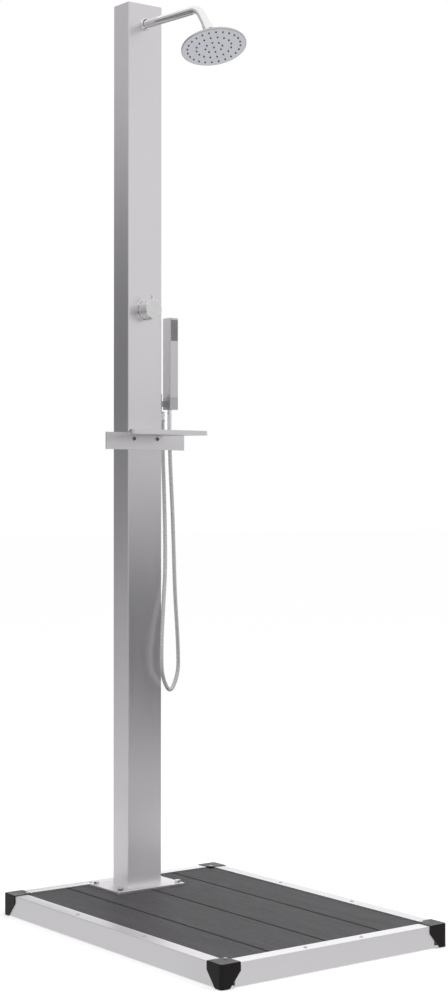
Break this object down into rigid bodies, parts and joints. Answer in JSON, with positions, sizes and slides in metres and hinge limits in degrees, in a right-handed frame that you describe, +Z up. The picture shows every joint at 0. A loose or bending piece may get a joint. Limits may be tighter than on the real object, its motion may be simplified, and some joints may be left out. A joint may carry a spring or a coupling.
{
  "type": "outdoor shower post",
  "caption": "Free-standing outdoor shower: steel column on a deck tray, tilting rain head, turning valve knob, lift-out hand shower on a metal hose, small shelf.",
  "frame": {"origin": "on the ground under the middle of the deck tray", "axes": "+Z up along the post, the post's front and the rain head face -Y, the hand shower is on +X"},
  "size_m": [0.624, 0.864, 2.188],
  "materials": {
    "anodised_aluminium": "satin anodised, fine lengthwise grain",
    "mill_aluminium": "plain mill finish",
    "black_plastic": "moulded black plastic, low sheen",
    "wood_composite": "dark grey wood composite with embossed grain",
    "galvanised_steel": "zinc coated",
    "bright_steel": "plain bright stainless steel",
    "brushed_steel": "stainless steel brushed lengthwise",
    "brass": "machined brass",
    "copper": "drawn copper pipe",
    "chrome": "polished chrome",
    "head_steel": "satin stainless steel",
    "nozzle_rubber": "dark soft nozzles",
    "white_plastic": "bearing plastic",
    "satin_steel": "satin stainless steel",
    "grey_plastic": "mid grey plastic",
    "hose_metal": "spiral wound metal hose"
  },
  "bodies": {
    "stand": {"anchor_bolts": "bright_steel", "anchor_nuts": "galvanised_steel", "anchor_washers": "bright_steel", "arm_elbow": "brass", "arm_rosette": "chrome", "ball_stud": "chrome", "base_plate": "brushed_steel", "bearer_back": "mill_aluminium", "bearer_front": "mill_aluminium", "branch_pipe": "copper", "cap_screws": "bright_steel", "corner_cap_back_left": "black_plastic", "corner_cap_back_right": "black_plastic", "corner_cap_front_left": "black_plastic", "corner_cap_front_right": "black_plastic", "deck_board_1": "wood_composite", "deck_board_2": "wood_composite", "deck_board_3": "wood_composite", "deck_board_4": "wood_composite", "hand_holder": "satin_steel", "holder_screws": "bright_steel", "inlet_elbow": "brass", "inlet_nut": "brass", "outlet_block": "brass", "outlet_elbow": "chrome", "outlet_hose_nut": "chrome", "post_beam": "galvanised_steel", "post_lid": "brushed_steel", "post_tube": "brushed_steel", "rail_back": "anodised_aluminium", "rail_front": "anodised_aluminium", "rail_left": "anodised_aluminium", "rail_right": "anodised_aluminium", "rail_screws": "bright_steel", "riser_pipe": "copper", "shelf": "brushed_steel", "shelf_screws": "bright_steel", "shower_arm": "chrome", "shower_hose": "hose_metal", "supply_pipe": "copper", "valve_body": "brass", "valve_ring_nut": "brass", "valve_rosette": "chrome"},
    "knob": {"valve_knob": "chrome", "lever_pin": "chrome", "valve_spool": "brass"},
    "head_ring": {"ball_seat": "white_plastic"},
    "head": {"head_nut": "chrome", "head_shell": "head_steel", "head_face": "head_steel", "head_nozzles": "nozzle_rubber"},
    "hand_shower": {"hand_body": "satin_steel", "hand_spray_plate": "grey_plastic", "hand_hose_nut": "chrome"}
  },
  "joints": [
    {"name": "knob_turn", "type": "hinge", "parent": "stand", "child": "knob", "pos_m": [0, 0.2935, 1.446], "axis": [0, -1, 0], "range_deg": [-90, 90]},
    {"name": "head_tilt", "type": "hinge", "parent": "stand", "child": "head_ring", "pos_m": [0, 0.02206, 2.05682], "axis": [1, 0, 0], "range_deg": [-35, 5]},
    {"name": "head_side_tilt", "type": "hinge", "parent": "head_ring", "child": "head", "pos_m": [0, 0.02206, 2.05682], "axis": [0, 0.9397, -0.342], "range_deg": [-19, 11]},
    {"name": "hand_shower_lift", "type": "slide", "parent": "stand", "child": "hand_shower", "axis": [0, 0, 1], "range_m": [0, 0.045]}
  ]
}
